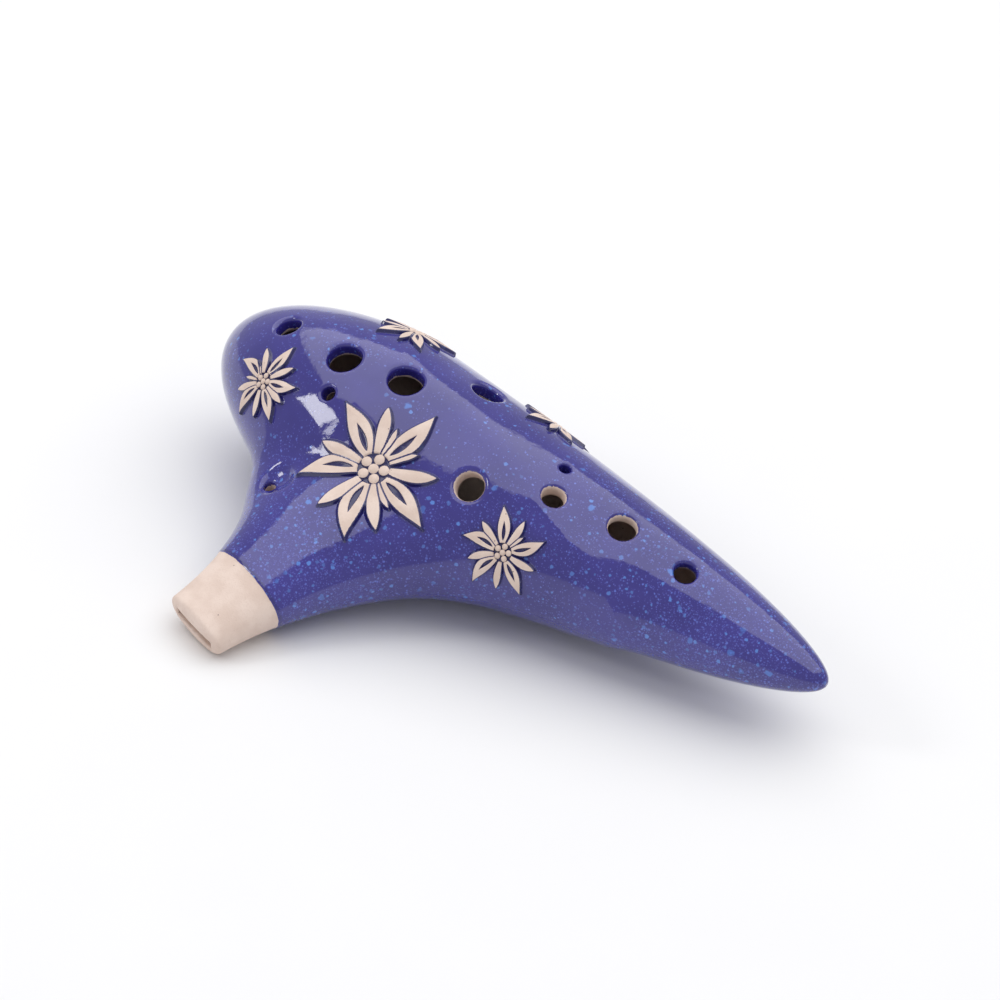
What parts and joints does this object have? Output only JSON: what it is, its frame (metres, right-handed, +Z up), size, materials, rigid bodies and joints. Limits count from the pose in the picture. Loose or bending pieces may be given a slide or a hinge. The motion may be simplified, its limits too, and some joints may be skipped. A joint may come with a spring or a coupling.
{
  "type": "ocarina",
  "caption": "Transverse sweet-potato ocarina: a glazed hollow ceramic body with finger and thumb holes, a bare clay mouthpiece on a slanted stem, and raised flower sprigs.",
  "frame": {"origin": "centre of the footprint of the ocarina as it lies on a table, at table height", "axes": "+X runs from the fat end to the tail, -Y towards the player and the mouthpiece, +Z up. It rests on its belly and on the underside of the mouthpiece's tip, tipped about 15 degrees towards the player."},
  "size_m": [0.1748, 0.0984, 0.0461],
  "materials": {
    "speckled_glaze": "deep blue gloss glaze with fine lighter blue speckles",
    "bare_clay": "unglazed smooth beige clay",
    "sprig_clay": "unglazed beige relief tops with blue glaze lying in the grooves"
  },
  "bodies": {
    "root": {"upper_shell": "speckled_glaze", "lower_shell": "speckled_glaze", "mouthpiece": "bare_clay", "windway_roof": "bare_clay", "windway_floor": "bare_clay", "labium": "bare_clay", "middle_flower_long_bracts": "sprig_clay", "middle_flower_short_bracts": "sprig_clay", "middle_flower_florets": "sprig_clay", "fat_end_flower_long_bracts": "sprig_clay", "fat_end_flower_short_bracts": "sprig_clay", "fat_end_flower_florets": "sprig_clay", "tail_flower_long_bracts": "sprig_clay", "tail_flower_short_bracts": "sprig_clay", "tail_flower_florets": "sprig_clay", "far_left_flower_long_bracts": "sprig_clay", "far_left_flower_short_bracts": "sprig_clay", "far_left_flower_florets": "sprig_clay", "far_right_flower_long_bracts": "sprig_clay", "far_right_flower_short_bracts": "sprig_clay", "far_right_flower_florets": "sprig_clay"}
  },
  "joints": []
}
